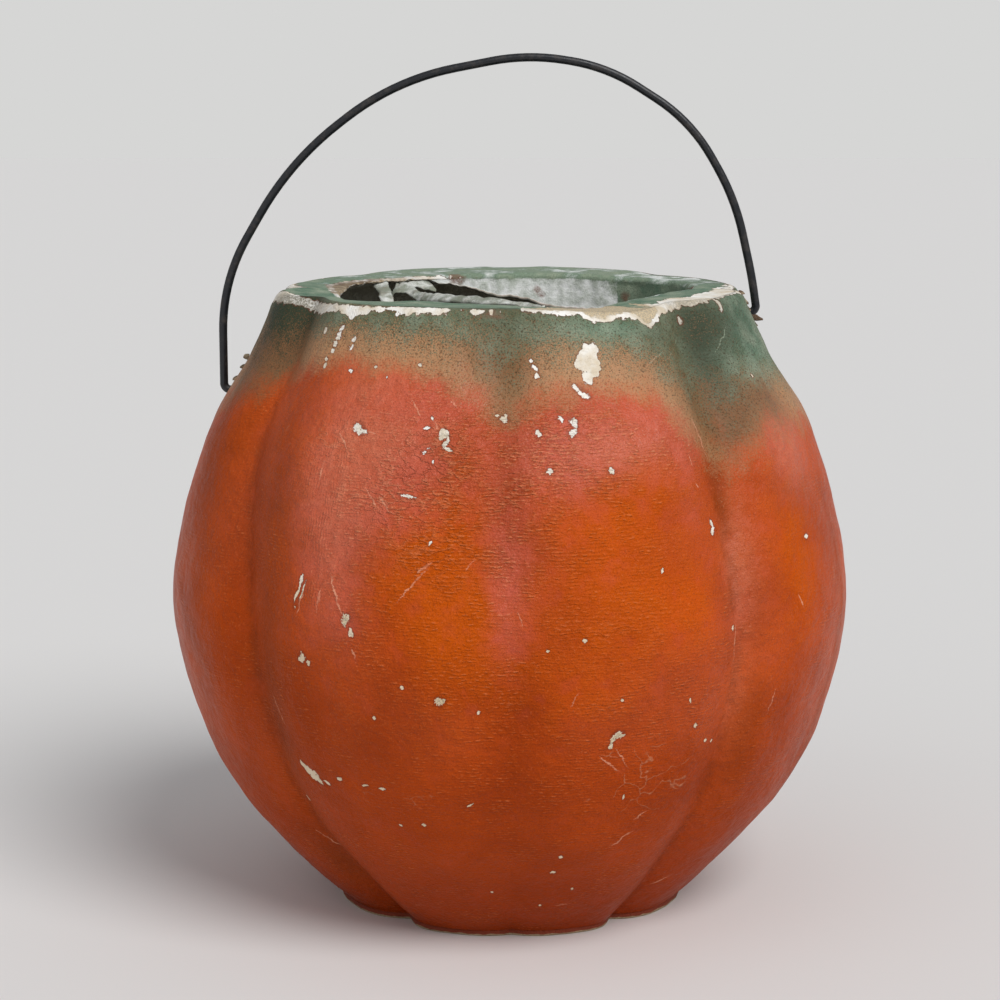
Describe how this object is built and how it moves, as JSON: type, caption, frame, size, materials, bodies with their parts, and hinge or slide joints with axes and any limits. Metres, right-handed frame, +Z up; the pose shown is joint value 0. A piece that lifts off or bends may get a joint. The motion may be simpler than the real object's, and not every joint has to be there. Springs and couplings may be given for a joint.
{
  "type": "pumpkin candy pail",
  "caption": "Lobed pumpkin-shaped candy pail of pressed paper pulp in two glued halves, with a turned-in rim round the open mouth, a card bottom and a thin wire bail that swings.",
  "frame": {"origin": "middle of the card bottom's underside, on the surface that the pail stands on", "axes": "+Z up through the mouth, -Y towards the front half, +X towards the higher bail hole"},
  "size_m": [0.1292, 0.13, 0.1634],
  "materials": {
    "painted_pulp": "satin paint over gesso",
    "card": "matte, aged",
    "seam_paper": "matte, aged",
    "bail_wire": "satin black japan"
  },
  "bodies": {
    "pail": {"front_shell": "painted_pulp", "back_shell": "painted_pulp", "base_card": "card", "seam_strip_left": "seam_paper", "seam_strip_right": "seam_paper"},
    "bail": {"bail": "bail_wire"}
  },
  "joints": [
    {"name": "bail_swing", "type": "hinge", "parent": "pail", "child": "bail", "pos_m": [-0.05425, 0.005, 0.0985], "axis": [0.989, 0, 0.1481], "range_deg": [-80, 77]}
  ]
}
